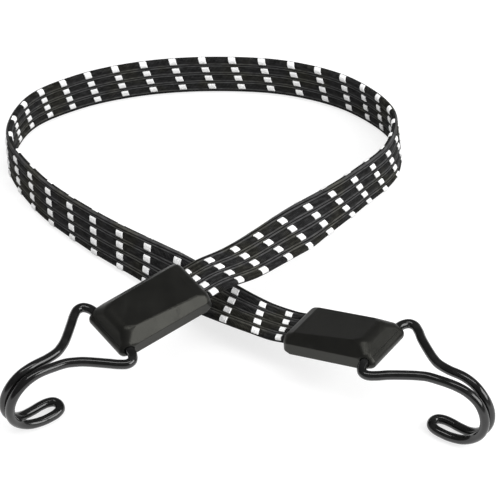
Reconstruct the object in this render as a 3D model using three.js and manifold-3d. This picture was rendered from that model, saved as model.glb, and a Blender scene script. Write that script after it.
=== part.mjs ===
// A flat elastic strap with a wire hook at each end, lying in a loop that crosses over itself.
// Millimetres, Z up. The origin is on the floor, under the middle of the two caps and hooks.
import * as THREE from "three";
import { mergeVertices } from "three/addons/utils/BufferGeometryUtils.js";
import Module from "manifold-3d";

const wasm = await Module();
wasm.setup();

// Gap between two pieces that touch on the real object
const FIT = 0.3;

// Strap: a woven sleeve round a row of rubber strands
const STRAP_WIDTH = 18;
const STRAP_THICKNESS = 2.3;
const STRAP_EDGE = 0.5;
const FACE_CROWN = 0.06;
const COVER_WALL = 0.35;
const STRAND_COUNT = 8;
const STRAP_STEPS = 72;

// Cap: two shells that close on the strap's end and on the ends of the wire
const WIRE = 3.5;
const CAP_WALL = 2.2;
const CAP_WIDTH = STRAP_WIDTH + 2 * (FIT + CAP_WALL);
const CAP_TAIL = 36.4;
const NOSE_WALL = 2.95;
const CAP_NOSE = WIRE / 2 + FIT + NOSE_WALL;
// The strap and the wire's axis lie this far under the seam between the shells
const AXLE_DROP = 1.35;
const CAP_ROOF = 3.1;
const CAP_RISE = 2.1;
const CAP_TOP_AT_TAIL = STRAP_THICKNESS / 2 + FIT - AXLE_DROP + CAP_ROOF;
const CAP_TOP_AT_NOSE = CAP_TOP_AT_TAIL + CAP_RISE;
const CAP_CORNER = 4;
const SIDE_BEVEL_FROM = 0.4;
const SIDE_BEVEL_ANGLE = 45;
const NOSE_BEVEL_FROM = -3.4;
const NOSE_BEVEL_ANGLE = 53;
const TAIL_BEVEL_FROM = CAP_TOP_AT_TAIL - 1.05;
const TAIL_BEVEL_ANGLE = 16;

// Clip: a folded steel plate on the strap's end, in a pocket of the cap
const CLIP_PLATE = 0.8;
const CLIP_INSET = 1;
const CLIP_WIDTH = STRAP_WIDTH - 2 * CLIP_INSET;
const CLIP_GRIP = 9;
const STRAP_STOP = 10;
const CAP_FLOOR = 0.7;
const CAP_DEPTH = AXLE_DROP + STRAP_THICKNESS / 2 + 2 * FIT + CLIP_PLATE + CAP_FLOOR;

// Hook: one bent wire, mirrored about the middle of the hook
const WIRE_SIDES = 5;
const HOOK_STEPS = 112;
const WIRE_END_GAP = 4;
const LEG_OUT = 4.3;
const LEG_BULGE = CAP_WIDTH / 2 + LEG_OUT;
const PAIR_GAP = 0.4;
const CURL_RADIUS = 12.5;
const CURL_REACH = 32.8;
const CURL_RISE = 1;
const EYE_GAP = 3;
const TIP_REACH = 23.8;
const HOOK_DROP = 2 * CURL_RADIUS - CURL_RISE + WIRE / 2;

// Where each cap lies: the wire's axis, the turn of the cap and of its hook in degrees, half the
// distance between the hook's two wires behind the legs, and how far each wire still stands off
// its place in the pair where the curl starts
const RIGHT_END = {
  at: [48.1, -3.5, HOOK_DROP + 0.18], heading: -33, pitch: 18, roll: -4, swing: -18,
  shank: 3.6, standOff: 0.9,
};
const LEFT_END = {
  at: [-47.7, 3.1, HOOK_DROP + 0.42], heading: 216, pitch: -4, roll: -2, swing: 3.5,
  shank: 2.7, standOff: 0,
};

// The strap runs straight this far past the cap before it turns
const STRAP_LEAD = 7;

// The strap between the caps, from the right one to the left one: x, y, z of its middle, and the lean
// in degrees, where 0 stands on edge and 90 lies flat
const ROUTE = [
  [2.5, 25.4, 11.5, 92],
  [-14.5, 38.4, 9.5, 72],
  [-35.5, 54.7, 9.2, 27],
  [-58.5, 72.2, 9.1, 14],
  [-80, 93.4, 9.1, 7],
  [-91.5, 116.4, 9, 0],
  [-85.5, 136.4, 9, 0],
  [-68, 148.9, 9, 0],
  [-42.5, 157.4, 9, 0],
  [-11.5, 160.4, 9, 0],
  [18.5, 157.4, 9, 0],
  [42.5, 146.9, 9, 0],
  [57.5, 129.4, 9.1, 4],
  [56.4, 111.2, 9.1, 12],
  [43, 94.5, 9.2, 15],
  [27.8, 78, 10.9, 29],
  [14.2, 60.4, 16.6, 66],
  [-1.5, 40.1, 24, 80],
];

const UP = new THREE.Vector3(0, 0, 1);

function colour(hex, roughness, metalness = 0) {
  return new THREE.MeshStandardMaterial({ color: hex, roughness, metalness });
}

function named(name, geometry, material) {
  const mesh = new THREE.Mesh(geometry, material);
  mesh.name = name;
  return mesh;
}

// A geometry as a solid that can be joined and cut.
function solid(geometry) {
  const bare = geometry.clone();
  bare.deleteAttribute("normal");
  bare.deleteAttribute("uv");
  const merged = mergeVertices(bare, 1e-4);
  return new wasm.Manifold(
    new wasm.Mesh({
      numProp: 3,
      vertProperties: new Float32Array(merged.attributes.position.array),
      triVerts: new Uint32Array(merged.index.array),
    }),
  );
}

function geometryOf(body) {
  const mesh = body.getMesh();
  const geometry = new THREE.BufferGeometry();
  geometry.setAttribute("position", new THREE.BufferAttribute(mesh.vertProperties, 3));
  geometry.setIndex(new THREE.BufferAttribute(mesh.triVerts, 1));
  geometry.computeVertexNormals();
  return geometry;
}

// A box between two corners.
function box(low, high) {
  const size = high.map((value, axis) => value - low[axis]);
  const geometry = new THREE.BoxGeometry(...size);
  geometry.translate(...low.map((value, axis) => value + size[axis] / 2));
  return solid(geometry);
}

// A large block whose flat face passes through a point, with everything on the normal's side.
function beyond(point, normal) {
  const side = 4 * (CAP_TAIL + CAP_NOSE);
  const geometry = new THREE.BoxGeometry(side, side, side);
  const direction = new THREE.Vector3(...normal).normalize();
  geometry.translate(0, 0, side / 2);
  geometry.applyQuaternion(new THREE.Quaternion().setFromUnitVectors(UP, direction));
  geometry.translate(...point);
  return solid(geometry);
}

// A flat shape pushed out by a height along Z.
function prism(shape, from, to, curveSegments = 4) {
  const geometry = new THREE.ExtrudeGeometry(shape, {
    depth: to - from,
    bevelEnabled: false,
    curveSegments,
  });
  geometry.translate(0, 0, from);
  return geometry;
}

// The strap's section: slightly thicker in the middle, corners cut off, one strip per strand on each face.
function strapSection(width, thickness, cut) {
  const side = width / 2;
  const pitch = strandPitch();
  const face = (x) => thickness / 2 - FACE_CROWN * (x / side) ** 2;
  const places = [-side + cut];
  for (let i = 1; i < STRAND_COUNT; i++) {
    places.push((i - STRAND_COUNT / 2) * pitch);
  }
  places.push(side - cut);
  const edge = face(side) - cut;
  const near = places.map((x) => new THREE.Vector2(x, -face(x)));
  const far = places.map((x) => new THREE.Vector2(-x, face(x)));
  const rightEdge = [new THREE.Vector2(side, -edge), new THREE.Vector2(side, edge)];
  const leftEdge = [new THREE.Vector2(-side, edge), new THREE.Vector2(-side, -edge)];
  return new THREE.Shape([...near, ...rightEdge, ...far, ...leftEdge]);
}

function strandPitch() {
  return (STRAP_WIDTH - 2 * COVER_WALL - FIT) / STRAND_COUNT;
}

// A rectangle set off sideways from the origin.
function rectangle(centre, width, height) {
  const outline = new THREE.Shape();
  outline.moveTo(centre - width / 2, -height / 2);
  outline.lineTo(centre + width / 2, -height / 2);
  outline.lineTo(centre + width / 2, height / 2);
  outline.lineTo(centre - width / 2, height / 2);
  outline.closePath();
  return outline;
}

// The group of one cap: X points to the hook, Y along the wire's axis, Z up through the cap's top.
function endFrame(end) {
  const frame = new THREE.Group();
  const [roll, pitch, heading] = [end.roll, -end.pitch, end.heading].map(THREE.MathUtils.degToRad);
  frame.position.set(...end.at);
  frame.rotation.set(roll, pitch, heading, "ZYX");
  frame.updateMatrixWorld(true);
  return frame;
}

// Points on a cap's middle line: the strap's end, the cap's mouth and the end of the straight lead.
function strapEntry(frame, lean) {
  return [-STRAP_STOP, -CAP_TAIL, -CAP_TAIL - STRAP_LEAD].map((x) => ({
    at: frame.localToWorld(new THREE.Vector3(x, 0, 0)),
    lean,
  }));
}

// The strap's middle line, which also says how the strap leans at each place.
class StrapRoute extends THREE.CatmullRomCurve3 {
  constructor(stations) {
    super(stations.map((station) => station.at));
    this.arcLengthDivisions = 800;
    this.leans = new THREE.SplineCurve(
      stations.map((station, index) => new THREE.Vector2(index, station.lean)),
    );
  }

  computeFrenetFrames(segments) {
    const frames = { tangents: [], normals: [], binormals: [] };
    for (let i = 0; i <= segments; i++) {
      const along = i / segments;
      const tangent = this.getTangentAt(along);
      const lean = THREE.MathUtils.degToRad(this.leans.getPoint(this.getUtoTmapping(along)).y);
      const upright = UP.clone().addScaledVector(tangent, -UP.dot(tangent)).normalize();
      const inward = new THREE.Vector3().crossVectors(tangent, upright);
      const across = upright.multiplyScalar(Math.cos(lean)).addScaledVector(inward, Math.sin(lean));
      frames.tangents.push(tangent);
      frames.normals.push(across);
      frames.binormals.push(new THREE.Vector3().crossVectors(tangent, across));
    }
    return frames;
  }
}

function strapRoute(rightFrame, leftFrame) {
  const middle = ROUTE.map(([x, y, z, lean]) => ({ at: new THREE.Vector3(x, y, z), lean }));
  const start = strapEntry(rightFrame, 90 - RIGHT_END.roll);
  const finish = strapEntry(leftFrame, 90 + LEFT_END.roll).reverse();
  return new StrapRoute([...start, ...middle, ...finish]);
}

function alongRoute(shape, route) {
  return new THREE.ExtrudeGeometry(shape, {
    steps: STRAP_STEPS,
    extrudePath: route,
    bevelEnabled: false,
  });
}

function strapCover(route) {
  const shape = strapSection(STRAP_WIDTH, STRAP_THICKNESS, STRAP_EDGE);
  const hollowWidth = STRAP_WIDTH - 2 * COVER_WALL;
  const hollowHeight = STRAP_THICKNESS - 2 * COVER_WALL;
  shape.holes.push(strapSection(hollowWidth, hollowHeight, STRAP_EDGE - COVER_WALL / 2));
  return named("strap_cover", alongRoute(shape, route), colour(0x1d1d1f, 0.9));
}

function rubberStrands(route) {
  const pitch = strandPitch();
  const height = STRAP_THICKNESS - 2 * COVER_WALL - 2 * FIT;
  const strands = [];
  for (let i = 0; i < STRAND_COUNT; i++) {
    const centre = (i - (STRAND_COUNT - 1) / 2) * pitch;
    const shape = rectangle(centre, pitch - FIT, height);
    strands.push(named(`rubber_strand_${i + 1}`, alongRoute(shape, route), colour(0xcdbb95, 0.8)));
  }
  return strands;
}

// One half of the wire's middle line, from its end inside the cap to the tip of the hook.
function halfHook(shank, standOff) {
  const pair = (WIRE + PAIR_GAP) / 2;
  const eye = (WIRE + EYE_GAP) / 2;
  const curlMiddle = CURL_RISE - CURL_RADIUS;
  const curlBottom = curlMiddle - CURL_RADIUS;
  const points = [
    [0, WIRE_END_GAP / 2, 0],
    [0, CAP_WIDTH / 4, 0],
    [0, CAP_WIDTH / 2, 0],
    [0.7, LEG_BULGE - 1.9, 0],
    [2.2, LEG_BULGE - 0.2, 0],
    [4.3, LEG_BULGE, 0],
    [7, LEG_BULGE - 1.7, 0],
    [10, 11.4, 0],
    [16.4, shank + 3.2, 0],
    [19, shank + 1.6, 0],
    [21.6, shank + 0.4, 0.1],
    [26, (shank + pair + standOff) / 2, 0.4],
  ];
  for (let angle = 90; angle >= -90; angle -= 22.5) {
    const turn = THREE.MathUtils.degToRad(angle);
    const reach = CURL_REACH + CURL_RADIUS * Math.cos(turn);
    const closing = Math.max(0, angle - 45) / 45;
    const opening = Math.max(0, -angle - 45) / 45;
    const side = pair + standOff * closing + (eye - pair) * 0.85 * opening;
    points.push([reach, side, curlMiddle + CURL_RADIUS * Math.sin(turn)]);
  }
  points.push([TIP_REACH + 6, eye, curlBottom]);
  points.push([TIP_REACH + 2.8, 0.92 * eye, curlBottom]);
  points.push([TIP_REACH + 0.7, 0.6 * eye, curlBottom]);
  return points.map((point) => new THREE.Vector3(...point));
}

function hookWire(name, shank, standOff) {
  const half = halfHook(shank, standOff);
  const tip = new THREE.Vector3(TIP_REACH, 0, CURL_RISE - 2 * CURL_RADIUS);
  const mirrored = half.map((point) => new THREE.Vector3(point.x, -point.y, point.z)).reverse();
  const path = new THREE.CatmullRomCurve3([...half, tip, ...mirrored]);
  path.arcLengthDivisions = 800;
  const section = new THREE.Shape().absarc(0, 0, WIRE / 2, 0, 2 * Math.PI);
  const geometry = new THREE.ExtrudeGeometry(section, {
    steps: HOOK_STEPS,
    curveSegments: WIRE_SIDES,
    extrudePath: path,
    bevelEnabled: false,
  });
  return named(name, geometry, colour(0x141416, 0.35, 0.4));
}

// The cap's outline seen from above, with round corners.
function capOutline() {
  const side = CAP_WIDTH / 2;
  const round = CAP_CORNER;
  const shape = new THREE.Shape();
  shape.moveTo(-CAP_TAIL + round, -side);
  shape.lineTo(CAP_NOSE - round, -side);
  shape.absarc(CAP_NOSE - round, -side + round, round, -Math.PI / 2, 0);
  shape.lineTo(CAP_NOSE, side - round);
  shape.absarc(CAP_NOSE - round, side - round, round, 0, Math.PI / 2);
  shape.lineTo(-CAP_TAIL + round, side);
  shape.absarc(-CAP_TAIL + round, side - round, round, Math.PI / 2, Math.PI);
  shape.lineTo(-CAP_TAIL, -side + round);
  shape.absarc(-CAP_TAIL + round, -side + round, round, Math.PI, 1.5 * Math.PI);
  return shape;
}

// What the shells leave free: the strap's slot, the clip's pocket and the bore for the wire.
function capHollow() {
  const slotWidth = STRAP_WIDTH / 2 + FIT;
  const slotHeight = STRAP_THICKNESS / 2 + FIT;
  const slot = box([-CAP_TAIL - 1, -slotWidth, -slotHeight], [-STRAP_STOP + FIT, slotWidth, slotHeight]);
  const clip = clipSize();
  const pocketWidth = CLIP_WIDTH / 2 + FIT;
  const pocketHeight = clip.outer + FIT;
  const pocketBack = [clip.back - FIT, -pocketWidth, -pocketHeight];
  const pocketFront = [clip.front + FIT, pocketWidth, pocketHeight];
  const pocket = box(pocketBack, pocketFront);
  const bore = new THREE.CylinderGeometry(WIRE / 2 + FIT, WIRE / 2 + FIT, CAP_WIDTH + 2, 16);
  return slot.add(pocket).add(solid(bore)).translate([0, 0, -AXLE_DROP]);
}

// What the sloping end over the wire cuts off both shells.
function noseCut() {
  const turn = THREE.MathUtils.degToRad(NOSE_BEVEL_ANGLE);
  return beyond([CAP_NOSE, 0, NOSE_BEVEL_FROM], [Math.sin(turn), 0, Math.cos(turn)]);
}

function upperShell(name) {
  const rise = CAP_TOP_AT_NOSE - CAP_TOP_AT_TAIL;
  const sideTurn = THREE.MathUtils.degToRad(SIDE_BEVEL_ANGLE);
  const tailTurn = THREE.MathUtils.degToRad(TAIL_BEVEL_ANGLE);
  const side = CAP_WIDTH / 2;
  const tailNormal = [-Math.sin(tailTurn), 0, Math.cos(tailTurn)];
  let body = solid(prism(capOutline(), FIT / 2, CAP_TOP_AT_NOSE + 1));
  body = body.subtract(beyond([-CAP_TAIL, 0, CAP_TOP_AT_TAIL], [-rise, 0, CAP_TAIL + CAP_NOSE]));
  body = body.subtract(beyond([-CAP_TAIL, 0, TAIL_BEVEL_FROM], tailNormal)).subtract(noseCut());
  for (const hand of [-1, 1]) {
    const normal = [0, hand * Math.sin(sideTurn), Math.cos(sideTurn)];
    body = body.subtract(beyond([0, hand * side, SIDE_BEVEL_FROM], normal));
  }
  return named(name, geometryOf(body.subtract(capHollow())), colour(0x2b2b2d, 0.55));
}

function lowerShell(name) {
  const body = solid(prism(capOutline(), -CAP_DEPTH, -FIT / 2)).subtract(noseCut());
  return named(name, geometryOf(body.subtract(capHollow())), colour(0x303032, 0.55));
}

// The clip's half heights, and its ends along the cap.
function clipSize() {
  const inner = STRAP_THICKNESS / 2 + FIT;
  return {
    inner,
    outer: inner + CLIP_PLATE,
    back: -STRAP_STOP - CLIP_GRIP,
    fold: -STRAP_STOP + FIT,
    front: -STRAP_STOP + FIT + CLIP_PLATE,
  };
}

function strapClip(name) {
  const { inner, outer, back, fold, front } = clipSize();
  const shape = new THREE.Shape();
  shape.moveTo(back, -outer);
  shape.lineTo(front, -outer);
  shape.lineTo(front, outer);
  shape.lineTo(back, outer);
  shape.lineTo(back, inner);
  shape.lineTo(fold, inner);
  shape.lineTo(fold, -inner);
  shape.lineTo(back, -inner);
  shape.closePath();
  const geometry = prism(shape, -CLIP_WIDTH / 2, CLIP_WIDTH / 2);
  geometry.rotateX(Math.PI / 2);
  return named(name, geometry, colour(0x9b9ea2, 0.4, 0.9));
}

// One cap with its clip, and the hook that swings in it.
function endFitting(frame, end, hand) {
  const swing = new THREE.Group();
  swing.rotation.y = -THREE.MathUtils.degToRad(end.swing);
  swing.add(hookWire(`${hand}_hook`, end.shank, end.standOff));
  const cap = new THREE.Group();
  cap.position.z = AXLE_DROP;
  cap.add(upperShell(`${hand}_upper_shell`), lowerShell(`${hand}_lower_shell`));
  frame.add(cap, strapClip(`${hand}_strap_clip`), swing);
  return frame;
}

const rightFrame = endFrame(RIGHT_END);
const leftFrame = endFrame(LEFT_END);
const route = strapRoute(rightFrame, leftFrame);

const strap = new THREE.Group();
strap.add(
  strapCover(route),
  ...rubberStrands(route),
  endFitting(rightFrame, RIGHT_END, "right"),
  endFitting(leftFrame, LEFT_END, "left"),
);

export default strap;
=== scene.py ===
# A flat elastic strap with a wire hook at each end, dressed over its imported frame.
# Metres, Z up. The strap lies in a loop that crosses over itself.
import math

import bmesh
import bpy
import numpy as np
from mathutils import Euler, Matrix, Vector


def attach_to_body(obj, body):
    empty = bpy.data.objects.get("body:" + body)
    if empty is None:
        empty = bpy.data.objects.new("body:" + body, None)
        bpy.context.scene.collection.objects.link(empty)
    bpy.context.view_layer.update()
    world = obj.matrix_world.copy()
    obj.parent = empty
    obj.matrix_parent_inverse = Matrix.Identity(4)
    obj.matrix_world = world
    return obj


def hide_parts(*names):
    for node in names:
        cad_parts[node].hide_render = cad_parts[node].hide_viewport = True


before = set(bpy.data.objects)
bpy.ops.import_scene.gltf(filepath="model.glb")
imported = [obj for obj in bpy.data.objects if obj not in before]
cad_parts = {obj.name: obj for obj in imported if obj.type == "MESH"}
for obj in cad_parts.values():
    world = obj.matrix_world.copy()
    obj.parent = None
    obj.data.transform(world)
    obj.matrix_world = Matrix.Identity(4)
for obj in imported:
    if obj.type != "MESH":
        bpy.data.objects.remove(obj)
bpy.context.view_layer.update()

# Gap between two pieces that touch on the real object
FIT = 0.0003

# Strap: a ribbed woven sleeve with white picks that show as dashes
STRAP_WIDTH = 0.018
STRAP_THICKNESS = 0.0023
SLEEVE_HALF = 0.0088
EDGE_ROUND = 0.0011
RIB_COUNT = 8
RIB_PITCH = 2 * SLEEVE_HALF / RIB_COUNT
GROOVE_DEPTH = 0.00045
# Depth of the weave, as a share of the grooves', by ribs from the middle of a row of dashes:
# a broad rib, a groove, a cord and a narrow groove between this cord and the next
WEAVE_PLACES = [0, 0.3, 0.5, 0.6, 0.7, 0.8, 0.9, 1]
WEAVE_DEPTHS = [0, 0.05, 0.5, 1, 0.25, 0.25, 0.6, 1]
CORD_PLACE = 0.75
GROOVE_PLACE = 0.57
# Rows of dashes, by ribs from the strap's top edge down its inner face
FIRST_ROW = 0.5
ROW_STEP = 2
ROW_SHIFT = ROW_STEP / 2 - FIRST_ROW
# The strap's edges have no groove, as far in as this many ribs
PLAIN_EDGE = 0.5
ROUTE_STEPS = 80
POINTS_PER_RIB = 10
SLEEVE_RINGS = 430
STRAND_RADIUS = 0.0006
STRAND_PITCH = 0.97 * RIB_PITCH
STRAND_END_GAP = 0.001
STRAND_SAMPLES = 220
STRAND_SIDES = 8

# White picks: each dash is a few yarns side by side over one rib. Their step counts in columns of
# dashes, their reach and edge gap in ribs, and their dip as a share of the grooves' depth.
PICKS_PER_DASH = 5
PICK_STEP = 0.046
PICK_RADIUS = 0.00036
PICK_LIFT = 0.00008
PICK_REACH = 0.5
PICK_EDGE_GAP = 0.1
PICK_DIP = 0.3
PICK_POINTS = 7
PICK_SIDES = 6
FIRST_COLUMN = -2
LAST_COLUMN = 42

# Cap: two shells that close on the strap's end and on the ends of the wire
WIRE = 0.0035
CAP_WIDTH = 0.023
CAP_TAIL = 0.0364
CAP_NOSE = 0.005
CAP_TOP_AT_TAIL = 0.0032
CAP_TOP_AT_NOSE = 0.0053
CAP_DEPTH = 0.0046
# The strap and the wire's axis lie this far under the seam between the shells
AXLE_DROP = 0.00135
SIDE_BEVEL_FROM = 0.0004
SIDE_BEVEL_ANGLE = 45
NOSE_BEVEL_FROM = -0.0034
NOSE_BEVEL_ANGLE = 53
TAIL_BEVEL_FROM = 0.00215
TAIL_BEVEL_ANGLE = 16
SEAM_GAP = 0.00008
SEAM_STEP = 0.00015
# The faces that meet at each corner of a cap's side, and the radius of the rounding there
CAP_CORNERS = [
    ("top", "nose_slope", "bevel", 0.005),
    ("top", "tail_slope", "bevel", 0.0016),
    ("tail", "tail_slope", "bevel", 0.003),
    ("tail", "wall", "bevel", 0.0028),
    ("nose_slope", "wall", "bevel", 0.0034),
    ("nose_slope", "base", "wall", 0.0024),
    ("base", "tail", "wall", 0.0018),
]
# Where the long edges between two faces turn crisp, and the radius of their rounding there
CRISP_EDGES = [
    ("top", "bevel", -0.006, 0.0008),
    ("bevel", "wall", -0.004, 0.0005),
    ("bevel", "wall", -0.0335, 0.0005),
    ("base", "wall", -0.002, 0.0006),
    ("base", "wall", -0.0335, 0.0006),
]
CORNER_STEPS = 12
# Facets that lean this few degrees apart become one, and edges over the sharp angle stay sharp
FLAT_ANGLE = 0.4
SHARP_ANGLE = 32
BORE_SIDES = 32
CUT_MARGIN = 0.001
CUT_TOLERANCE = 1e-7
# The strap ends this far behind the wire's axis, and leaves the cap straight over the lead
STRAP_STOP = 0.010
STRAP_LEAD = 0.007
# The clip's pocket in a cap, measured from the wire's axis
CLIP_BACK = -0.0193
CLIP_FRONT = -0.0086
CLIP_HALF_WIDTH = 0.0083
CLIP_HALF_HEIGHT = 0.00255

# Hook: one bent wire, mirrored about the middle of the hook
WIRE_END_GAP = 0.002
LEG_BULGE = 0.0158
PAIR_HALF = 0.00195
EYE_HALF = 0.00325
CURL_RADIUS = 0.0125
CURL_REACH = 0.0328
CURL_RISE = 0.001
CURL_STEPS = 8
# Degrees of the curl, at its start and at its end, over which the two wires close in and open out,
# and the share of the eye's opening that they have at the curl's end
CURL_EASE = 45
CURL_END_OPENING = 0.85
TIP_REACH = 0.0238
# The eye's round end: distance behind the tip, and half width as a share of the eye's
EYE_BENDS = [(0.006, 1), (0.0028, 0.92), (0.0007, 0.6)]
HOOK_STEPS = 10
WIRE_SIDES = 20
HOOK_DROP = 2 * CURL_RADIUS - CURL_RISE + WIRE / 2

# Where each cap lies: the wire's axis, the turn of the cap and of its hook in degrees, half the
# distance between the hook's two wires behind the legs, and how far each wire still stands off
# its place in the pair where the curl starts
RIGHT_END = dict(
    at=(0.0481, -0.0035, HOOK_DROP + 0.00018), heading=-33, pitch=18, roll=-4, swing=-18,
    shank=0.0036, stand_off=0.0009,
)
LEFT_END = dict(
    at=(-0.0477, 0.0031, HOOK_DROP + 0.00042), heading=216, pitch=-4, roll=-2, swing=3.5,
    shank=0.0027, stand_off=0,
)

# The strap between the caps, from the right one to the left one: x, y, z of its middle, the lean in
# degrees where 0 stands on edge, the number of the dash column there, and how much a column slants
ROUTE = [
    (0.0025, 0.0254, 0.0115, 92, 0.97, 0.36),
    (-0.0145, 0.0384, 0.0095, 72, 2.65, 0.34),
    (-0.0355, 0.0547, 0.0092, 27, 4.75, 0.22),
    (-0.0585, 0.0722, 0.0091, 14, 7.02, 0.22),
    (-0.0800, 0.0934, 0.0091, 7, 9.60, 0.27),
    (-0.0915, 0.1164, 0.0090, 0, 12.05, 0.27),
    (-0.0855, 0.1364, 0.0090, 0, 14.35, 0.25),
    (-0.0680, 0.1489, 0.0090, 0, 16.50, 0.25),
    (-0.0425, 0.1574, 0.0090, 0, 18.88, 0.28),
    (-0.0115, 0.1604, 0.0090, 0, 21.53, 0.28),
    (0.0185, 0.1574, 0.0090, 0, 24.08, 0.28),
    (0.0425, 0.1469, 0.0090, 0, 26.47, 0.25),
    (0.0575, 0.1294, 0.0091, 4, 29.25, 0.18),
    (0.0564, 0.1112, 0.0091, 12, 31.55, 0.22),
    (0.0430, 0.0945, 0.0092, 15, 33.71, 0.38),
    (0.0278, 0.0780, 0.0109, 29, 35.46, 0.66),
    (0.0142, 0.0604, 0.0166, 66, 37.20, 0.30),
    (-0.0015, 0.0401, 0.0240, 80, 39.10, 0.12),
]
# Number and slant of the dash column at the strap's end, at the cap's mouth and outside it
RIGHT_COLUMNS = [(-2.8, 0.32), (-0.73, 0.32), (-0.15, 0.32)]
# The same at the left cap, in the route's order: outside, at the mouth and at the strap's end
LEFT_COLUMNS = [(40.23, 0.22), (40.96, 0.20), (43.2, 0.20)]

# Camera and light
VIEW_CENTRE = Vector((0.0015, 0.0704, 0))
VIEW_DISTANCE = 1.15
VIEW_ELEVATION = 45
LENS = 218.6
SENSOR_WIDTH = 36
# Strength of the light from all around, and of the dome where it is seen
AMBIENT = 0.78
SEEN_DOME = 0.1
# Heights over the horizon between which the white that is seen fades to the dome
HORIZON_END = 0.035
DOME_START = 0.08
FLOOR_HALF = 6
FLOOR_DROP = 0.0004
# The floor's own grey, and the glow that lifts it where it is seen
FLOOR_COLOUR = 0.4
FLOOR_LIFT = 0.68


# Places and paths


def end_matrix(end, swing=0):
    """Place of one cap: X points to the hook, Y along the wire's axis, Z up through the cap's top."""
    heading = Matrix.Rotation(math.radians(end["heading"]), 4, "Z")
    pitch = Matrix.Rotation(math.radians(-end["pitch"]), 4, "Y")
    roll = Matrix.Rotation(math.radians(end["roll"]), 4, "X")
    turn = Matrix.Rotation(math.radians(-swing), 4, "Y")
    return Matrix.Translation(end["at"]) @ heading @ pitch @ roll @ turn


def cap_matrix(end):
    """Place of the shells, whose seam lies over the strap and the wire's axis."""
    return end_matrix(end) @ Matrix.Translation((0, 0, AXLE_DROP))


def smooth_path(points, steps):
    """A smooth curve through the points, with the place of each sample in the list of points."""
    points = np.array(points, float)
    padded = np.vstack([2 * points[0] - points[1], points, 2 * points[-1] - points[-2]])
    samples = []
    places = []
    for i in range(len(points) - 1):
        p0, p1, p2, p3 = padded[i : i + 4]
        d0, d1, d2 = (np.sum((b - a) ** 2) ** 0.25 for a, b in ((p0, p1), (p1, p2), (p2, p3)))
        t1 = ((p1 - p0) / d0 - (p2 - p0) / (d0 + d1) + (p2 - p1) / d1) * d1
        t2 = ((p2 - p1) / d1 - (p3 - p1) / (d1 + d2) + (p3 - p2) / d2) * d1
        t = np.arange(steps + (i == len(points) - 2))[:, None] / steps
        near = (2 * t**3 - 3 * t**2 + 1) * p1 + (t**3 - 2 * t**2 + t) * t1
        far = (3 * t**2 - 2 * t**3) * p2 + (t**3 - t**2) * t2
        samples.append(near + far)
        places.append(i + t[:, 0])
    return np.vstack(samples), np.concatenate(places)


def smooth_value(values, places):
    """One value per point of a path, eased between the points."""
    values = np.array(values, float)
    last = len(values) - 1
    i = np.minimum(places.astype(int), last - 1)
    t = places - i
    p0, p1, p2, p3 = (values[np.clip(i + k, 0, last)] for k in (-1, 0, 1, 2))
    v1 = (p2 - p0) / 2
    v2 = (p3 - p1) / 2
    return (2 * p1 - 2 * p2 + v1 + v2) * t**3 + (3 * p2 - 3 * p1 - 2 * v1 - v2) * t**2 + v1 * t + p1


def distances(points):
    """How far along a line each of its points lies."""
    steps = np.linalg.norm(np.diff(points, axis=0), axis=1)
    return np.concatenate([[0], np.cumsum(steps)])


def unit(vectors):
    """The same directions, each of length 1."""
    return vectors / np.linalg.norm(vectors, axis=-1, keepdims=True)


class StrapRoute:
    """The strap's middle line with its lean, its dash numbers and their slant."""

    def __init__(self):
        inside = (-STRAP_STOP, -CAP_TAIL, -CAP_TAIL - STRAP_LEAD)
        stations = []
        for x, (number, slant) in zip(inside, RIGHT_COLUMNS):
            at = end_matrix(RIGHT_END) @ Vector((x, 0, 0))
            stations.append((*at, 90 - RIGHT_END["roll"], number, slant))
        stations += ROUTE
        for x, (number, slant) in zip(reversed(inside), LEFT_COLUMNS):
            at = end_matrix(LEFT_END) @ Vector((x, 0, 0))
            stations.append((*at, 90 + LEFT_END["roll"], number, slant))
        stations = np.array(stations)
        self.middle, places = smooth_path(stations[:, :3], ROUTE_STEPS)
        self.lean = np.radians(smooth_value(stations[:, 3], places))
        self.s = distances(self.middle)
        station_s = np.interp(np.arange(len(stations)), places, self.s)
        self.number = np.interp(self.s, station_s, stations[:, 4])
        self.slant = np.interp(self.s, station_s, stations[:, 5])
        self.along = unit(np.gradient(self.middle, axis=0))
        self.length = self.s[-1]

    def at(self, s, values):
        """Values of the route at distances s along it."""
        s = np.asarray(s, float)
        if values.ndim == 1:
            return np.interp(s, self.s, values)
        return np.stack([np.interp(s, self.s, values[:, axis]) for axis in range(3)], -1)

    def frames(self, s):
        """Middle, the direction across the strap and the direction its inner face looks, at s."""
        middle = self.at(s, self.middle)
        along = unit(self.at(s, self.along))
        lean = self.at(s, self.lean)[..., None]
        upright = unit(np.array([0, 0, 1.0]) - along * along[..., 2:])
        inward = np.cross(along, upright)
        across = upright * np.cos(lean) + inward * np.sin(lean)
        return middle, across, np.cross(along, across)

    def place_on(self, number, rib, hand, lift):
        """A point on the weave: dash number, ribs from the top edge, and 1 inner or -1 outer face."""
        top = np.interp(number, self.number, self.s)
        s = top + hand * self.at(top, self.slant) * STRAP_WIDTH * rib / RIB_COUNT
        middle, across, facing = self.frames(s)
        x, y = sleeve_outline(rib if hand > 0 else 2 * RIB_COUNT - rib, lift, PICK_DIP)
        return middle + across * np.asarray(x)[..., None] + facing * np.asarray(y)[..., None]

    def number_on(self, s, rib, hand):
        """The dash number of a place on the weave, by its distance along the strap and its rib."""
        top = s - hand * self.at(s, self.slant) * STRAP_WIDTH * rib / RIB_COUNT
        return np.interp(top, self.s, self.number)


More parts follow.
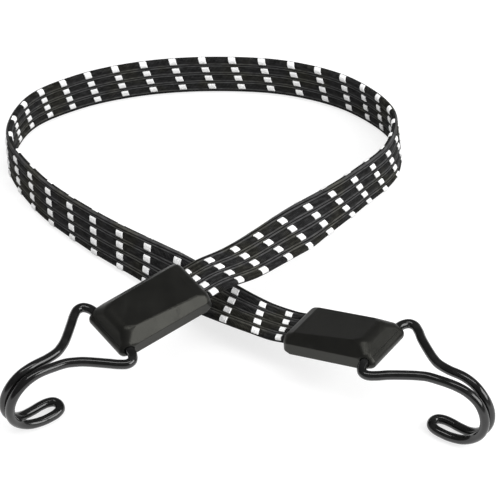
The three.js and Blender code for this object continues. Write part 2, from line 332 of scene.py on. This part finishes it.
def sleeve_outline(place, lift=0, dip=1):
    """The sleeve's section by ribs round it: 0 to 8 down the inner face, 8 to 16 up the outer one."""
    place = np.mod(place, 2 * RIB_COUNT)
    rib = np.where(place <= RIB_COUNT, place, 2 * RIB_COUNT - place)
    hand = np.where(place <= RIB_COUNT, 1, -1)
    from_edge = np.minimum(rib, RIB_COUNT - rib)
    turn = np.clip(from_edge * RIB_PITCH / EDGE_ROUND, 0, 1) * math.pi / 2
    from_row = np.abs(np.mod(place + ROW_SHIFT, ROW_STEP) - ROW_STEP / 2)
    groove = np.interp(from_row, WEAVE_PLACES, WEAVE_DEPTHS)
    groove = np.where(from_edge < PLAIN_EDGE, 0, groove)
    half = STRAP_THICKNESS / 2 + lift - dip * GROOVE_DEPTH * groove
    side = np.where(rib < RIB_COUNT / 2, 1, -1)
    flat = SLEEVE_HALF - RIB_PITCH * rib
    round_part = side * (SLEEVE_HALF - EDGE_ROUND + (EDGE_ROUND + lift) * np.cos(turn))
    x = np.where(from_edge * RIB_PITCH < EDGE_ROUND, round_part, flat)
    return x, hand * half * np.sin(turn)


# Meshes


def new_object(name, mesh):
    """Put a mesh into the scene."""
    obj = bpy.data.objects.new(name, mesh)
    bpy.context.scene.collection.objects.link(obj)
    return obj


def mesh_object(name, points, edges, faces):
    """An object made of points, edges and faces."""
    mesh = bpy.data.meshes.new(name)
    mesh.from_pydata([tuple(p) for p in points], edges, faces)
    mesh.update()
    return new_object(name, mesh)


def make_plain(obj):
    """Turn an object with modifiers into a plain mesh."""
    graph = bpy.context.evaluated_depsgraph_get()
    mesh = bpy.data.meshes.new_from_object(obj.evaluated_get(graph), depsgraph=graph)
    obj.modifiers.clear()
    obj.data = mesh
    return obj


def round_section_tree():
    """Sweeps a round section along every line of a mesh."""
    tree = bpy.data.node_groups.new("round_section_along_lines", "GeometryNodeTree")
    tree.interface.new_socket("Lines", in_out="INPUT", socket_type="NodeSocketGeometry")
    tree.interface.new_socket("Radius", in_out="INPUT", socket_type="NodeSocketFloat")
    tree.interface.new_socket("Sides", in_out="INPUT", socket_type="NodeSocketInt")
    tree.interface.new_socket("Finish", in_out="INPUT", socket_type="NodeSocketMaterial")
    tree.interface.new_socket("Mesh", in_out="OUTPUT", socket_type="NodeSocketGeometry")
    given = tree.nodes.new("NodeGroupInput")
    lines = tree.nodes.new("GeometryNodeMeshToCurve")
    section = tree.nodes.new("GeometryNodeCurvePrimitiveCircle")
    sweep = tree.nodes.new("GeometryNodeCurveToMesh")
    smooth = tree.nodes.new("GeometryNodeSetShadeSmooth")
    realize = tree.nodes.new("GeometryNodeRealizeInstances")
    finish = tree.nodes.new("GeometryNodeSetMaterial")
    result = tree.nodes.new("NodeGroupOutput")
    sweep.inputs["Fill Caps"].default_value = True
    join = tree.links.new
    join(given.outputs["Lines"], lines.inputs["Mesh"])
    join(given.outputs["Sides"], section.inputs["Resolution"])
    join(given.outputs["Radius"], section.inputs["Radius"])
    join(lines.outputs["Curve"], sweep.inputs["Curve"])
    join(section.outputs["Curve"], sweep.inputs["Profile Curve"])
    join(sweep.outputs["Mesh"], smooth.inputs["Geometry"])
    join(smooth.outputs["Geometry"], realize.inputs["Geometry"])
    join(realize.outputs["Geometry"], finish.inputs["Geometry"])
    join(given.outputs["Finish"], finish.inputs["Material"])
    join(finish.outputs["Geometry"], result.inputs["Mesh"])
    return tree


def swept_lines(name, lines, radius, sides, finish):
    """A piece of round section along each line of points."""
    points = []
    edges = []
    for line in lines:
        start = len(points)
        points.extend(line)
        edges.extend((start + i, start + i + 1) for i in range(len(line) - 1))
    obj = mesh_object(name, points, edges, [])
    sweep = obj.modifiers.new("sweep", "NODES")
    sweep.node_group = ROUND_SECTION
    inputs = {item.name: item.identifier for item in ROUND_SECTION.interface.items_tree}
    sweep[inputs["Radius"]] = radius
    sweep[inputs["Sides"]] = sides
    sweep[inputs["Finish"]] = finish
    return make_plain(obj)


# Finishes


def finish_tree(name):
    """A new material, its node tree and its shader."""
    material = bpy.data.materials.new(name)
    material.use_nodes = True
    tree = material.node_tree
    shader = tree.nodes["Principled BSDF"]
    return material, tree, shader


def add(tree, kind, **inputs):
    """Add a node and set its inputs, by a value or by the output that feeds it."""
    node = tree.nodes.new(kind)
    for name, value in inputs.items():
        put(tree, node.inputs[name.replace("_", " ")], value)
    return node


def put(tree, socket, value):
    """Feed an input with a value or with another node's output."""
    if isinstance(value, bpy.types.NodeSocket):
        tree.links.new(value, socket)
    else:
        socket.default_value = value


def math_node(tree, operation, first, second=0.0):
    """The result of a sum, a product or the like."""
    node = tree.nodes.new("ShaderNodeMath")
    node.operation = operation
    put(tree, node.inputs[0], first)
    put(tree, node.inputs[1], second)
    return node.outputs[0]


def mix_colour(tree, factor, first, second):
    """A colour between two others: the first at 0 and the second at 1."""
    node = tree.nodes.new("ShaderNodeMix")
    node.data_type = "RGBA"
    put(tree, node.inputs["Factor"], factor)
    colours = [socket for socket in node.inputs if socket.type == "RGBA"]
    put(tree, colours[0], first)
    put(tree, colours[1], second)
    return [socket for socket in node.outputs if socket.type == "RGBA"][0]


def grey(value):
    """An even grey as a colour."""
    return (value, value, value, 1)


def spread(tree, value, low, high, from_low=0.3, from_high=0.7):
    """Map a pattern's range to another one."""
    node = add(tree, "ShaderNodeMapRange", Value=value, From_Min=from_low, From_Max=from_high)
    put(tree, node.inputs["To Min"], low)
    put(tree, node.inputs["To Max"], high)
    return node.outputs["Result"]


def object_noise(tree, scale, detail=4.0, stretch=(1, 1, 1)):
    """A cloudy pattern that stays on the object."""
    place = tree.nodes.new("ShaderNodeTexCoord").outputs["Object"]
    mapping = add(tree, "ShaderNodeMapping", Vector=place, Scale=stretch)
    place = mapping.outputs["Vector"]
    noise = add(tree, "ShaderNodeTexNoise", Vector=place, Scale=scale, Detail=detail)
    return noise.outputs["Fac"]


def weave_noise(tree, weave, along, across):
    """Streaks that run along the strap, laid by the weave's own coordinates."""
    stretched = add(tree, "ShaderNodeMapping", Vector=weave, Scale=(along, across, 1))
    place = stretched.outputs["Vector"]
    noise = add(tree, "ShaderNodeTexNoise", Vector=place, Scale=1.0, Detail=4.0)
    return noise.outputs["Fac"]


def bump(tree, shader, height, strength, distance):
    """Roughen a shader's surface by the height of a pattern."""
    node = add(tree, "ShaderNodeBump", Height=height, Strength=strength, Distance=distance)
    tree.links.new(node.outputs["Normal"], shader.inputs["Normal"])


def black_weave():
    """Black weave with a faint olive cast: broad speckled ribs, and paler cords in pairs between,
    partly painted sheen, with painted shade in the grooves beside them.
    """
    material, tree, shader = finish_tree("black_weave")
    weave = tree.nodes.new("ShaderNodeUVMap")
    weave.uv_map = "weave"
    parts = add(tree, "ShaderNodeSeparateXYZ", Vector=weave.outputs["UV"])
    shifted = math_node(tree, "ADD", parts.outputs["Y"], ROW_SHIFT)
    rows = math_node(tree, "MODULO", shifted, ROW_STEP)
    from_row = math_node(tree, "ABSOLUTE", math_node(tree, "SUBTRACT", rows, ROW_STEP / 2))
    from_cord = math_node(tree, "ABSOLUTE", math_node(tree, "SUBTRACT", from_row, CORD_PLACE))
    from_groove = math_node(tree, "ABSOLUTE", math_node(tree, "SUBTRACT", from_row, GROOVE_PLACE))
    picks = math_node(tree, "MULTIPLY", parts.outputs["X"], 2 * math.pi / PICK_STEP)
    lean = math_node(tree, "MULTIPLY", parts.outputs["Y"], 2)
    wave = math_node(tree, "SINE", math_node(tree, "ADD", picks, lean))
    fibres = object_noise(tree, 1100, 6)
    patches = object_noise(tree, 70, 3)
    streaks = weave_noise(tree, weave.outputs["UV"], 4, 2.2)
    height = math_node(tree, "ADD", math_node(tree, "MULTIPLY", wave, 0.4), fibres)
    bump(tree, shader, height, 0.5, 0.00014)
    olive = spread(tree, patches, 0, 1, 0.5, 0.62)
    ground = mix_colour(tree, olive, (0.004, 0.004, 0.0041, 1), (0.005, 0.0048, 0.004, 1))
    raised = mix_colour(tree, olive, (0.034, 0.034, 0.0347, 1), (0.036, 0.0352, 0.029, 1))
    # The pale line colour on the cords is partly the paler cord yarn and partly painted sheen.
    line = mix_colour(tree, olive, (0.082, 0.082, 0.0835, 1), (0.088, 0.087, 0.076, 1))
    mottled = math_node(tree, "ADD", height, math_node(tree, "MULTIPLY", streaks, 2))
    rib = mix_colour(tree, spread(tree, mottled, 0, 1, 1.2, 2.1), ground, raised)
    # Painted shade: the grooves beside each cord and between one cord and the next are painted near
    # black.
    beside_cords = spread(tree, from_groove, 1, 0, 0.02, 0.08)
    between_cords = spread(tree, from_row, 0, 1, 0.88, 0.96)
    groove = math_node(tree, "MAXIMUM", beside_cords, between_cords)
    painted_groove_shade = mix_colour(tree, groove, rib, grey(0.004))
    on_cord = spread(tree, from_cord, 1, 0, 0.08, 0.22)
    broken = spread(tree, streaks, 0.35, 1)
    cord_and_painted_sheen = math_node(tree, "MULTIPLY", on_cord, broken)
    tree.links.new(mix_colour(tree, cord_and_painted_sheen, painted_groove_shade, line), shader.inputs["Base Color"])
    tree.links.new(spread(tree, fibres, 0.6, 0.85), shader.inputs["Roughness"])
    shader.inputs["Specular IOR Level"].default_value = 0.06
    shader.inputs["Sheen Weight"].default_value = 0.012
    shader.inputs["Sheen Roughness"].default_value = 0.45
    return material


def white_yarn():
    """Soft white yarn with fine fibres."""
    material, tree, shader = finish_tree("white_yarn")
    fibres = object_noise(tree, 2600, 5)
    patches = object_noise(tree, 240, 2)
    colour = mix_colour(tree, spread(tree, patches, 0, 1), grey(0.86), grey(0.95))
    tree.links.new(colour, shader.inputs["Base Color"])
    tree.links.new(spread(tree, fibres, 0.5, 0.75), shader.inputs["Roughness"])
    bump(tree, shader, fibres, 0.35, 0.0001)
    shader.inputs["Sheen Weight"].default_value = 0.15
    return material


def cap_plastic():
    """Dark satin moulded plastic with a fine grain and faint scuffs."""
    material, tree, shader = finish_tree("cap_plastic")
    grain = object_noise(tree, 3200, 3)
    clouds = object_noise(tree, 130, 4)
    scuffs = object_noise(tree, 420, 5, (1, 0.12, 0.6))
    dark = (0.006, 0.006, 0.0056, 1)
    pale = (0.0095, 0.0095, 0.0088, 1)
    colour = mix_colour(tree, spread(tree, clouds, 0, 1), dark, pale)
    rubbed = mix_colour(tree, spread(tree, scuffs, 0, 0.5, 0.62, 0.8), colour, grey(0.016))
    tree.links.new(rubbed, shader.inputs["Base Color"])
    satin = spread(tree, clouds, 0.35, 0.41)
    dulled = spread(tree, scuffs, 0, 0.1, 0.55, 0.8)
    rough = math_node(tree, "ADD", satin, dulled)
    tree.links.new(rough, shader.inputs["Roughness"])
    bump(tree, shader, grain, 0.12, 0.00012)
    shader.inputs["Specular IOR Level"].default_value = 0.36
    shader.inputs["Specular Tint"].default_value = (1, 1, 0.9, 1)
    return material


def coated_wire():
    """Steel wire in a smooth black coat."""
    material, tree, shader = finish_tree("coated_wire")
    ripple = object_noise(tree, 700, 2)
    rubs = object_noise(tree, 260, 5)
    colour = mix_colour(tree, spread(tree, rubs, 0, 1, 0.45, 0.75), grey(0.006), grey(0.013))
    tree.links.new(colour, shader.inputs["Base Color"])
    tree.links.new(spread(tree, rubs, 0.13, 0.18), shader.inputs["Roughness"])
    bump(tree, shader, ripple, 0.01, 0.0001)
    shader.inputs["Specular IOR Level"].default_value = 0.6
    return material


def tan_rubber():
    """Dull tan rubber."""
    material, tree, shader = finish_tree("tan_rubber")
    specks = object_noise(tree, 900, 4)
    dark = (0.55, 0.43, 0.27, 1)
    pale = (0.66, 0.55, 0.37, 1)
    colour = mix_colour(tree, spread(tree, specks, 0, 1), dark, pale)
    tree.links.new(colour, shader.inputs["Base Color"])
    tree.links.new(spread(tree, specks, 0.6, 0.8), shader.inputs["Roughness"])
    bump(tree, shader, specks, 0.2, 0.0001)
    return material


def clip_steel():
    """Brushed steel plate."""
    material, tree, shader = finish_tree("clip_steel")
    brushed = object_noise(tree, 900, 5, (0.1, 1, 1))
    colour = mix_colour(tree, spread(tree, brushed, 0, 1), grey(0.42), grey(0.6))
    tree.links.new(colour, shader.inputs["Base Color"])
    tree.links.new(spread(tree, brushed, 0.28, 0.45), shader.inputs["Roughness"])
    bump(tree, shader, brushed, 0.1, 0.00005)
    shader.inputs["Metallic"].default_value = 1.0
    return material


# Strap


def woven_sleeve(route, finish):
    """The strap's ribbed sleeve, closed at both ends inside the caps, and its middle line."""
    round_count = 2 * RIB_COUNT * POINTS_PER_RIB
    place = np.arange(round_count) / POINTS_PER_RIB
    s = np.linspace(0, route.length, SLEEVE_RINGS)
    middle, across, facing = route.frames(s)
    x, y = sleeve_outline(place)
    sideways = across[:, None] * x[None, :, None]
    outward = facing[:, None] * y[None, :, None]
    points = middle[:, None] + sideways + outward
    faces = []
    for ring in range(SLEEVE_RINGS - 1):
        start = ring * round_count
        for i in range(round_count):
            j = (i + 1) % round_count
            faces.append((start + i, start + round_count + i, start + round_count + j, start + j))
    last = (SLEEVE_RINGS - 1) * round_count
    faces.append(tuple(range(round_count)))
    faces.append(tuple(last + i for i in reversed(range(round_count))))
    sleeve = mesh_object("woven_sleeve", points.reshape(-1, 3), [], faces)
    lay_weave(sleeve.data, route, s, place)
    sleeve.data.materials.append(finish)
    sleeve.data.shade_smooth()
    return sleeve, middle


def lay_weave(mesh, route, s, place):
    """UV map that follows the weave: dash number along the strap, and ribs round it."""
    count = len(place)
    near = s[:-1, None] + 0 * place[None]
    far = s[1:, None] + 0 * place[None]
    first = place[None] + 0 * near
    second = first + 1 / POINTS_PER_RIB
    hand = np.where(first < RIB_COUNT, 1, -1)
    corners = []
    for distance, ribs in ((near, first), (far, first), (far, second), (near, second)):
        rib = np.where(hand > 0, ribs, 2 * RIB_COUNT - ribs)
        corners.append(np.stack([route.number_on(distance, rib, hand), ribs], -1))
    side_map = np.stack(corners, 2).reshape(-1, 2)
    end_map = np.stack([np.zeros(2 * count), np.tile(place, 2)], -1)
    layer = mesh.uv_layers.new(name="weave")
    layer.data.foreach_set("uv", np.vstack([side_map, end_map]).ravel())


def white_picks(route, finish):
    """Short white yarns over every other rib, in slanted columns along both faces."""
    lines = []
    for column in range(FIRST_COLUMN, LAST_COLUMN + 1):
        for hand, first_row in ((1, FIRST_ROW), (-1, ROW_STEP - FIRST_ROW)):
            for row in np.arange(first_row, RIB_COUNT, ROW_STEP):
                for pick in range(PICKS_PER_DASH):
                    number = column + (pick - (PICKS_PER_DASH - 1) / 2) * PICK_STEP
                    lines.append(pick_line(route, number, row, hand))
    return swept_lines("white_picks", lines, PICK_RADIUS, PICK_SIDES, finish)


def pick_line(route, number, row, hand):
    """One yarn over a rib, dipping into the groove on each side, or round the strap's edge."""
    low = row - PICK_REACH
    high = row + PICK_REACH
    if row < 1:
        low = 0
    if row > RIB_COUNT - 1:
        high = RIB_COUNT - PICK_EDGE_GAP
    ribs = np.linspace(low, high, PICK_POINTS)
    lift = np.full(PICK_POINTS, PICK_LIFT)
    lift[[0, -1]] = -2 * PICK_LIFT
    return route.place_on(np.full(PICK_POINTS, number), ribs, hand, lift)


def rubber_strands(route, finish):
    """A round rubber strand inside each rib."""
    s = np.linspace(STRAND_END_GAP, route.length - STRAND_END_GAP, STRAND_SAMPLES)
    middle, across, _ = route.frames(s)
    lines = []
    for i in range(RIB_COUNT):
        offset = (i - (RIB_COUNT - 1) / 2) * STRAND_PITCH
        lines.append(middle + across * offset)
    return swept_lines("rubber_strands", lines, STRAND_RADIUS, STRAND_SIDES, finish)


# Hooks


def hook_line(shank, stand_off):
    """The wire's middle line, from one end inside the cap round the hook to the other end."""
    middle = CURL_RISE - CURL_RADIUS
    bottom = middle - CURL_RADIUS
    # One half of the wire by reach, side and height: its end in the cap, the leg, then the shank
    half = [
        (0, WIRE_END_GAP, 0),
        (0, CAP_WIDTH / 4, 0),
        (0, CAP_WIDTH / 2, 0),
        (0.0007, LEG_BULGE - 0.0019, 0),
        (0.0022, LEG_BULGE - 0.0002, 0),
        (0.0043, LEG_BULGE, 0),
        (0.007, LEG_BULGE - 0.0017, 0),
        (0.010, 0.0114, 0),
        (0.0164, shank + 0.0032, 0),
        (0.019, shank + 0.0016, 0),
        (0.0216, shank + 0.0004, 0.0001),
        (0.026, (shank + PAIR_HALF + stand_off) / 2, 0.0004),
    ]
    for step in range(CURL_STEPS + 1):
        angle = 90 - 180 / CURL_STEPS * step
        turn = math.radians(angle)
        reach = CURL_REACH + CURL_RADIUS * math.cos(turn)
        closing = max(0, angle - 90 + CURL_EASE) / CURL_EASE
        opening = max(0, CURL_EASE - 90 - angle) / CURL_EASE
        opened = (EYE_HALF - PAIR_HALF) * CURL_END_OPENING * opening
        side = PAIR_HALF + stand_off * closing + opened
        half.append((reach, side, middle + CURL_RADIUS * math.sin(turn)))
    for behind, share in EYE_BENDS:
        half.append((TIP_REACH + behind, share * EYE_HALF, bottom))
    mirrored = [(x, -y, z) for x, y, z in reversed(half)]
    line, _ = smooth_path([*half, (TIP_REACH, 0, bottom), *mirrored], HOOK_STEPS)
    return line


def hook_wire(hand, end, finish):
    """One hook, hung in its cap and turned as it lies."""
    place = end_matrix(end, end["swing"])
    line = [place @ Vector(point) for point in hook_line(end["shank"], end["stand_off"])]
    return swept_lines(f"{hand}_wire_hook", [line], WIRE / 2, WIRE_SIDES, finish)


# Caps


def slope(angle):
    """Sideways and upward parts of a face's normal that leans over by an angle."""
    turn = math.radians(angle)
    return math.sin(turn), math.cos(turn)


def cap_faces(hand, inset):
    """A point and the outward normal of each face of a cap, with one of its two sides."""
    rise = CAP_TOP_AT_NOSE - CAP_TOP_AT_TAIL
    nose_out, nose_up = slope(NOSE_BEVEL_ANGLE)
    tail_out, tail_up = slope(TAIL_BEVEL_ANGLE)
    side_out, side_up = slope(SIDE_BEVEL_ANGLE)
    side = hand * (CAP_WIDTH / 2 - inset)
    return {
        "top": ((-CAP_TAIL, 0, CAP_TOP_AT_TAIL), (-rise, 0, CAP_TAIL + CAP_NOSE)),
        "tail_slope": ((-CAP_TAIL, 0, TAIL_BEVEL_FROM), (-tail_out, 0, tail_up)),
        "tail": ((-CAP_TAIL, 0, 0), (-1, 0, 0)),
        "nose_slope": ((CAP_NOSE, 0, NOSE_BEVEL_FROM), (nose_out, 0, nose_up)),
        "base": ((0, 0, -CAP_DEPTH), (0, 0, -1)),
        "bevel": ((0, side, SIDE_BEVEL_FROM), (0, hand * side_out, side_up)),
        "wall": ((0, side, 0), (0, hand, 0)),
    }


def ball_centre(faces, radius):
    """The centre of a ball that touches three faces from the inside, and the faces' normals."""
    normals = unit(np.array([normal for point, normal in faces], dtype=float))
    levels = [np.dot(normal, point) for normal, (point, unused) in zip(normals, faces)]
    return np.linalg.solve(normals, np.array(levels) - radius), normals


def corner_points(faces, radius):
    """Points over the part of a ball that rounds a corner of three faces."""
    centre, normals = ball_centre(faces, radius)
    points = []
    for first in range(CORNER_STEPS + 1):
        for second in range(CORNER_STEPS + 1 - first):
            share = np.array([first, second, CORNER_STEPS - first - second])
            direction = share @ normals
            points.append(centre + radius * direction / np.linalg.norm(direction))
    return points


def crisp_points(first, second, place, radius):
    """Points over the narrow rounding of an edge, at one place along the cap."""
    across = ((place + radius, 0, 0), (1, 0, 0))
    centre, normals = ball_centre([first, second, across], radius)
    points = []
    for step in range(CORNER_STEPS + 1):
        direction = step * normals[0] + (CORNER_STEPS - step) * normals[1]
        points.append(centre + radius * direction / np.linalg.norm(direction))
    return points


def cap_block(seam, inset):
    """A cap's rounded outside, cut at the seam: a seam over zero keeps the upper part."""
    block = bmesh.new()
    for hand in (-1, 1):
        faces = cap_faces(hand, inset)
        points = []
        for first, second, place, radius in CRISP_EDGES:
            points += crisp_points(faces[first], faces[second], place, radius)
        for first, second, third, radius in CAP_CORNERS:
            points += corner_points([faces[first], faces[second], faces[third]], radius)
        for point in points:
            block.verts.new(point)
    hull = bmesh.ops.convex_hull(block, input=block.verts[:])
    inside = [item for item in hull["geom_interior"] if isinstance(item, bmesh.types.BMVert)]
    bmesh.ops.delete(block, geom=inside, context="VERTS")
    bmesh.ops.dissolve_limit(
        block, angle_limit=math.radians(FLAT_ANGLE), verts=block.verts[:], edges=block.edges[:]
    )
    everything = block.verts[:] + block.edges[:] + block.faces[:]
    away = (0, 0, -1 if seam > 0 else 1)
    cut = bmesh.ops.bisect_plane(
        block,
        geom=everything,
        dist=CUT_TOLERANCE,
        plane_co=(0, 0, seam),
        plane_no=away,
        clear_outer=True,
    )
    rim = [item for item in cut["geom_cut"] if isinstance(item, bmesh.types.BMEdge)]
    bmesh.ops.contextual_create(block, geom=rim)
    bmesh.ops.recalc_face_normals(block, faces=block.faces[:])
    return block


def cutter(name, block, place):
    """Turn a block into an object at its place."""
    mesh = bpy.data.meshes.new(name)
    bmesh.ops.transform(block, matrix=place, verts=block.verts[:])
    block.to_mesh(mesh)
    block.free()
    return new_object(name, mesh)


def box_cutter(name, low, high, place):
    """A box between two corners."""
    block = bmesh.new()
    bmesh.ops.create_cube(block, size=1)
    for vert in block.verts:
        vert.co = Vector(tuple(b if c > 0 else a for a, b, c in zip(low, high, vert.co)))
    return cutter(name, block, place)


def cap_cutters(place):
    """What the shells leave free: the strap's slot, the clip's pocket and the bore for the wire."""
    slot_width = STRAP_WIDTH / 2 + FIT
    slot_height = STRAP_THICKNESS / 2 + FIT
    back = (-CAP_TAIL - CUT_MARGIN, -slot_width, -slot_height)
    slot = box_cutter("slot", back, (-STRAP_STOP + FIT, slot_width, slot_height), place)
    low = (CLIP_BACK, -CLIP_HALF_WIDTH, -CLIP_HALF_HEIGHT)
    pocket = box_cutter("pocket", low, (CLIP_FRONT, CLIP_HALF_WIDTH, CLIP_HALF_HEIGHT), place)
    block = bmesh.new()
    radius = WIRE / 2 + FIT
    bmesh.ops.create_cone(
        block,
        cap_ends=True,
        segments=BORE_SIDES,
        radius1=radius,
        radius2=radius,
        depth=CAP_WIDTH + 2 * CUT_MARGIN,
    )
    turn = Matrix.Rotation(math.pi / 2, 4, "X")
    bore = cutter("bore", block, place @ turn)
    return [slot, pocket, bore]


def cap_shell(name, block, end, finish):
    """One shell of a cap, with the slot, the pocket and the bore cut out."""
    shell = cutter(name, block, cap_matrix(end))
    cutters = cap_cutters(end_matrix(end))
    for tool in cutters:
        cut = shell.modifiers.new(tool.name, "BOOLEAN")
        cut.operation = "DIFFERENCE"
        cut.solver = "EXACT"
        cut.object = tool
    make_plain(shell)
    for tool in cutters:
        bpy.data.objects.remove(tool)
    shell.data.materials.clear()
    shell.data.materials.append(finish)
    shell.data.shade_smooth()
    shell.data.set_sharp_from_angle(angle=math.radians(SHARP_ANGLE))
    normals = shell.modifiers.new("flat_faces", "WEIGHTED_NORMAL")
    normals.keep_sharp = True
    return make_plain(shell)


def upper_shell(name, end, finish):
    """The shell over the seam, with the flat top and the bevels."""
    return cap_shell(name, cap_block(SEAM_GAP / 2, 0), end, finish)


def lower_shell(name, end, finish):
    """The shell under the seam, a little narrower."""
    return cap_shell(name, cap_block(-SEAM_GAP / 2, SEAM_STEP), end, finish)


def attach(piece, body, slot, *nodes):
    """Let a piece ride on a body in place of the nodes that it dresses."""
    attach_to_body(piece, body)
    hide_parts(*nodes)


# Camera, floor and light


def set_camera():
    """A camera that looks at the loop from the front and above."""
    camera = bpy.data.objects.new("camera", bpy.data.cameras.new("camera"))
    bpy.context.scene.collection.objects.link(camera)
    up = math.radians(VIEW_ELEVATION)
    camera.location = VIEW_CENTRE + VIEW_DISTANCE * Vector((0, -math.cos(up), math.sin(up)))
    camera.rotation_euler = Euler((math.pi / 2 - up, 0, 0))
    camera.data.lens = LENS
    camera.data.sensor_width = SENSOR_WIDTH
    bpy.context.scene.camera = camera


def camera_or_mirror(tree):
    """1 for what the camera sees, directly, mirrored or through glass, and 0 for light."""
    path = tree.nodes.new("ShaderNodeLightPath")
    glossy = path.outputs["Is Glossy Ray"]
    mirrored = math_node(tree, "MAXIMUM", glossy, path.outputs["Is Transmission Ray"])
    return math_node(tree, "MAXIMUM", path.outputs["Is Camera Ray"], mirrored)


def set_floor():
    """A pale floor that takes shadows, and glows where it is seen."""
    material = bpy.data.materials.new("pale_floor")
    material.use_nodes = True
    tree = material.node_tree
    tree.nodes.clear()
    seen = camera_or_mirror(tree)
    matte = add(tree, "ShaderNodeBsdfDiffuse", Color=grey(FLOOR_COLOUR))
    glow = add(tree, "ShaderNodeEmission", Color=grey(1))
    tree.links.new(math_node(tree, "MULTIPLY", seen, FLOOR_LIFT), glow.inputs["Strength"])
    both = tree.nodes.new("ShaderNodeAddShader")
    tree.links.new(matte.outputs[0], both.inputs[0])
    tree.links.new(glow.outputs[0], both.inputs[1])
    out = tree.nodes.new("ShaderNodeOutputMaterial")
    tree.links.new(both.outputs[0], out.inputs["Surface"])
    ways = [(-1, -1), (1, -1), (1, 1), (-1, 1)]
    corners = [(FLOOR_HALF * x, FLOOR_HALF * y, -FLOOR_DROP) for x, y in ways]
    floor = mesh_object("floor", corners, [], [(0, 1, 2, 3)])
    floor.data.materials.append(material)


def set_world():
    """Even light from all around, and a dim dome over a white horizon where the world is seen."""
    world = bpy.data.worlds.new("studio")
    world.use_nodes = True
    bpy.context.scene.world = world
    tree = world.node_tree
    direction = tree.nodes.new("ShaderNodeTexCoord").outputs["Generated"]
    height = add(tree, "ShaderNodeSeparateXYZ", Vector=direction).outputs["Z"]
    seen = spread(tree, height, 1, SEEN_DOME, HORIZON_END, DOME_START)
    more = math_node(tree, "SUBTRACT", seen, AMBIENT)
    where_seen = math_node(tree, "MULTIPLY", more, camera_or_mirror(tree))
    background = tree.nodes["Background"]
    background.inputs["Color"].default_value = grey(1)
    tree.links.new(math_node(tree, "ADD", where_seen, AMBIENT), background.inputs["Strength"])


def softbox(name, direction, distance, size, power):
    """A flat lamp that faces the middle of the view."""
    light = bpy.data.lights.new(name, "AREA")
    light.shape = "RECTANGLE"
    light.size, light.size_y = size
    light.energy = power
    lamp = bpy.data.objects.new(name, light)
    bpy.context.scene.collection.objects.link(lamp)
    away = Vector(direction).normalized()
    lamp.location = VIEW_CENTRE + away * distance
    lamp.rotation_euler = away.to_track_quat("Z", "Y").to_euler()


# The scene: camera and strap

set_camera()
ROUND_SECTION = round_section_tree()
route = StrapRoute()

sleeve, sleeve_path = woven_sleeve(route, black_weave())
picks = white_picks(route, white_yarn())
strands = rubber_strands(route, tan_rubber())
strand_nodes = [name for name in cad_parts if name.startswith("rubber_strand")]
attach(sleeve, "strap", "strap_weave", "strap_cover")
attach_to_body(picks, "strap")
attach(strands, "strap", "rubber", *strand_nodes)

# Cap, hook and clip at each end

plastic = cap_plastic()
steel = clip_steel()
coat = coated_wire()
for hand, end in (("right", RIGHT_END), ("left", LEFT_END)):
    top = upper_shell(f"{hand}_cap_top", end, plastic)
    attach(top, "strap", "cap_plastic", f"{hand}_upper_shell")
    base = lower_shell(f"{hand}_cap_base", end, plastic)
    attach(base, "strap", "cap_plastic", f"{hand}_lower_shell")
    wire = hook_wire(hand, end, coat)
    attach(wire, f"{hand}_hook", "hook_wire", f"{hand}_hook")
    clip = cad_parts[f"{hand}_strap_clip"]
    for slot in clip.material_slots:
        slot.material = steel

# Stage and light

set_floor()
set_world()
softbox("right_softbox", direction=(0.76, -0.33, 0.58), distance=1.1, size=(0.8, 0.6), power=8.5)
softbox("top_softbox", direction=(0, -0.05, 1), distance=1.3, size=(1.2, 0.22), power=5)
bpy.context.scene.view_settings.view_transform = "Standard"
